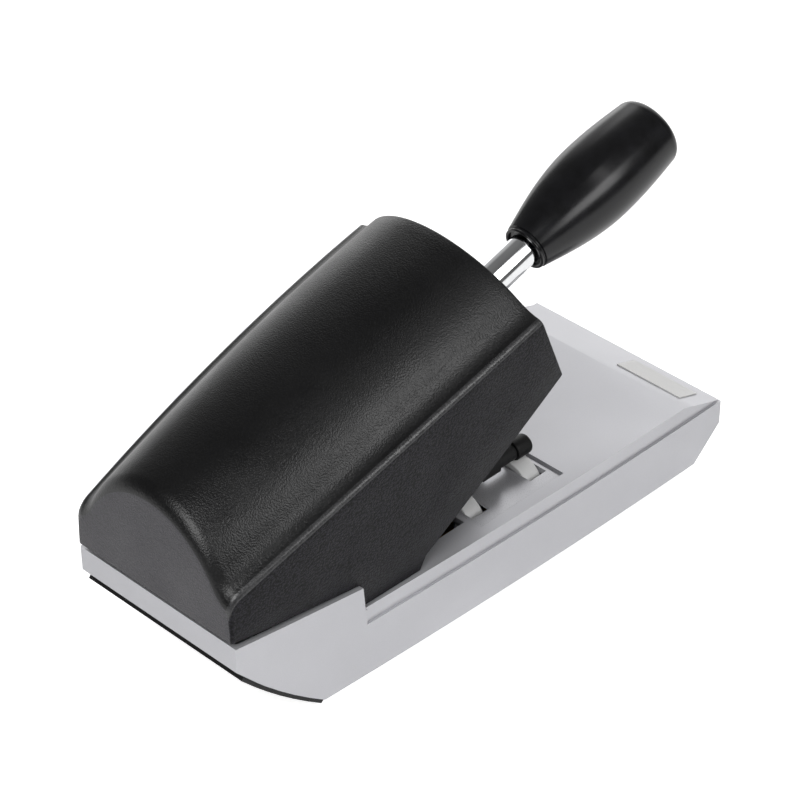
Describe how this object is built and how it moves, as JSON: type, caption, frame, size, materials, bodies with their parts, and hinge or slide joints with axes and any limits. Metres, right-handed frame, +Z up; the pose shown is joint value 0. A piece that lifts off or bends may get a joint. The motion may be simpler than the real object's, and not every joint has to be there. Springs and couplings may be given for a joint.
{
  "type": "check perforator",
  "caption": "Desk check perforator: pulling a lever drives coded punch pins through a check on the table, which wheels feed sideways under the head.",
  "frame": {"origin": "on the desk, under the middle of the outline", "axes": "+X to the right of the user, -Y towards the user and the grip, +Z up"},
  "size_m": [0.1202, 0.3254, 0.1716],
  "materials": {
    "silver_plastic": "moulded, light silver-grey, fine satin",
    "black_plastic": "moulded, black, leather grain",
    "black_gloss": "moulded, black, polished",
    "rubber": "moulded rubber",
    "wheel_plastic": "moulded, pale grey",
    "chrome": "polished chrome plate",
    "brass": "machined",
    "zinc_steel": "machined steel, bright zinc plate"
  },
  "bodies": {
    "base": {"base_shell": "silver_plastic", "feed_plate": "silver_plastic", "bottom_pan": "black_plastic", "rubber_feet": "rubber", "pan_screws": "zinc_steel", "bed_plate": "zinc_steel", "bed_screws": "zinc_steel", "left_cheek": "zinc_steel", "right_cheek": "zinc_steel", "cheek_screws": "zinc_steel", "tie_bars": "zinc_steel", "pivot_shaft": "zinc_steel", "shaft_clips": "zinc_steel", "ram_guide": "brass", "guide_screws": "zinc_steel", "stripper_block": "zinc_steel", "stripper_screws": "zinc_steel", "die_plate": "zinc_steel", "die_screws": "zinc_steel", "feed_bearings": "brass", "pinch_bracket": "black_plastic", "feed_rod_guides": "zinc_steel", "return_spring": "zinc_steel", "head_cover": "black_plastic", "cover_posts": "black_plastic", "front_panel": "black_plastic", "cover_screws": "zinc_steel", "blank_plate": "wheel_plastic"},
    "lever": {"lever_hub": "zinc_steel", "hub_bush": "brass", "crank_pin": "zinc_steel", "tail_pin": "zinc_steel", "lever_rod": "chrome", "lever_grip": "black_gloss"},
    "ram": {"ram": "zinc_steel", "ram_foot": "zinc_steel", "dial_spindle": "zinc_steel", "click_plunger": "zinc_steel", "pin_lifter": "zinc_steel", "punch_pins": "chrome"},
    "dial": {"character_dial": "black_gloss"},
    "feed": {"feed_shaft": "zinc_steel", "feed_wheel_front": "wheel_plastic", "feed_wheel_rear": "wheel_plastic", "ratchet_wheel": "zinc_steel"},
    "pinch": {"pinch_bar": "black_plastic", "pinch_roller_front": "rubber", "pinch_roller_rear": "rubber"},
    "feed_rod": {"feed_rod": "zinc_steel", "pawl_pin": "zinc_steel"},
    "pawl": {"feed_pawl": "zinc_steel"},
    "hatch": {"chad_hatch": "black_plastic"}
  },
  "joints": [
    {"name": "lever_press", "type": "hinge", "parent": "base", "child": "lever", "pos_m": [0, 0.00653, 0.1056], "axis": [1, 0, 0], "range_deg": [0, 30], "stiffness_Nm_per_rad": 3, "springref_deg": -28.65, "deforming": ["return_spring"]},
    {"name": "ram_slide", "type": "slide", "parent": "base", "child": "ram", "axis": [0, 0, -1], "range_m": [0, 0.01135]},
    {"name": "dial_turn", "type": "hinge", "parent": "ram", "child": "dial", "pos_m": [0.022, -0.01447, 0.0692], "axis": [0, 0, 1], "continuous": true},
    {"name": "feed_turn", "type": "hinge", "parent": "base", "child": "feed", "pos_m": [-0.0286, -0.01447, 0.0288], "axis": [0, 1, 0], "continuous": true},
    {"name": "pinch_turn", "type": "hinge", "parent": "base", "child": "pinch", "pos_m": [-0.0286, -0.01447, 0.0475], "axis": [0, 1, 0], "continuous": true},
    {"name": "feed_rod_slide", "type": "slide", "parent": "base", "child": "feed_rod", "axis": [0, 0, 1], "range_m": [0, 0.01035]},
    {"name": "pawl_swing", "type": "hinge", "parent": "feed_rod", "child": "pawl", "pos_m": [-0.021, 0.02567, 0.0425], "axis": [0, -1, 0], "range_deg": [0, 10], "stiffness_Nm_per_rad": 0.01, "springref_deg": -5.73},
    {"name": "hatch_slide", "type": "slide", "parent": "base", "child": "hatch", "axis": [0, -1, 0], "range_m": [0, 0.04]}
  ],
  "couplings": [
    {"joint": "ram_slide", "follows": "lever_press", "m_per_rad": 0.021676},
    {"joint": "feed_rod_slide", "follows": "lever_press", "m_per_rad": 0.019763},
    {"joint": "pinch_turn", "follows": "feed_turn", "ratio": -2.68}
  ]
}
